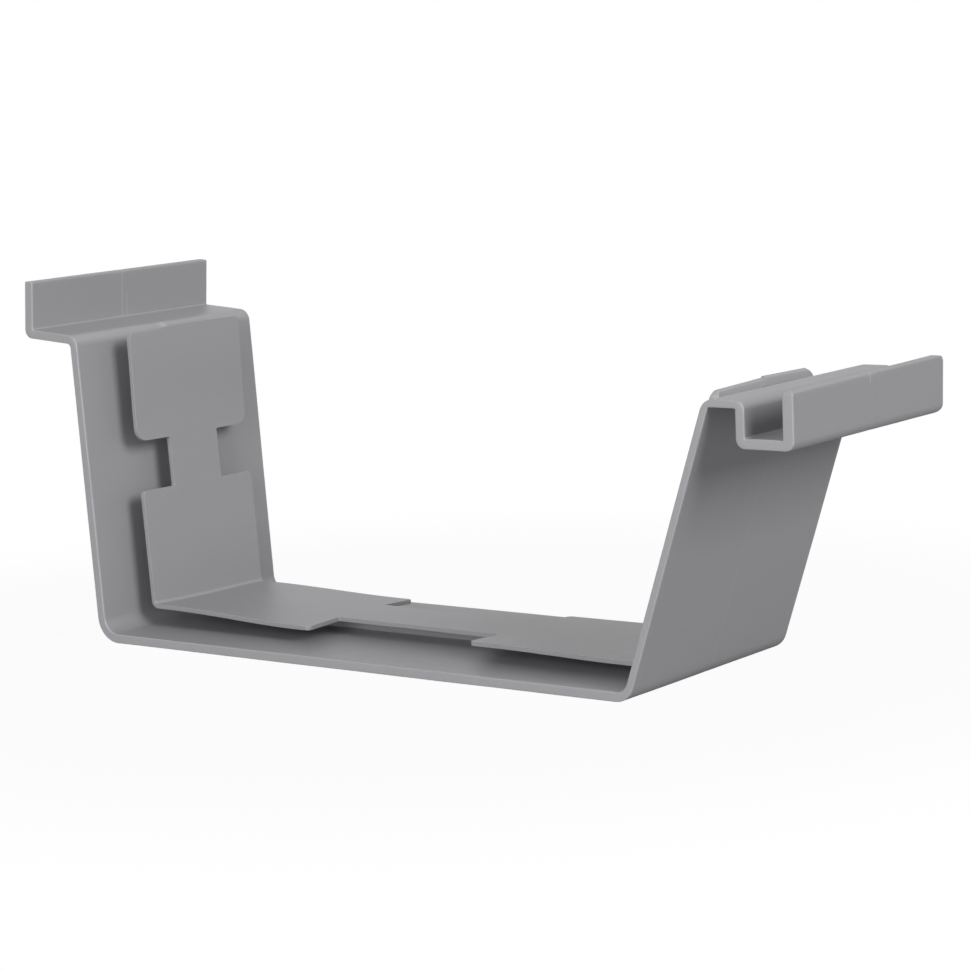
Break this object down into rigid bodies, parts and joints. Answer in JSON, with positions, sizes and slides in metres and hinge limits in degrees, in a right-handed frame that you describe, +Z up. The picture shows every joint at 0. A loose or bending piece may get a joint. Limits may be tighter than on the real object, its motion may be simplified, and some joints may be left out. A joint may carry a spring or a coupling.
{
  "type": "gutter union",
  "caption": "Moulded box gutter union: a shell with rear upstand and front hook, and a notched inner plate held off it by a central web.",
  "frame": {"origin": "middle of the floor's underside, halfway along the union", "axes": "+X across the gutter, from its rear edge at the wall to its front edge; +Y along the gutter; +Z up"},
  "size_m": [0.1956, 0.0574, 0.0792],
  "materials": {
    "grey_pvc": "satin, as moulded"
  },
  "bodies": {
    "root": {"gutter_union": "grey_pvc"}
  },
  "joints": []
}
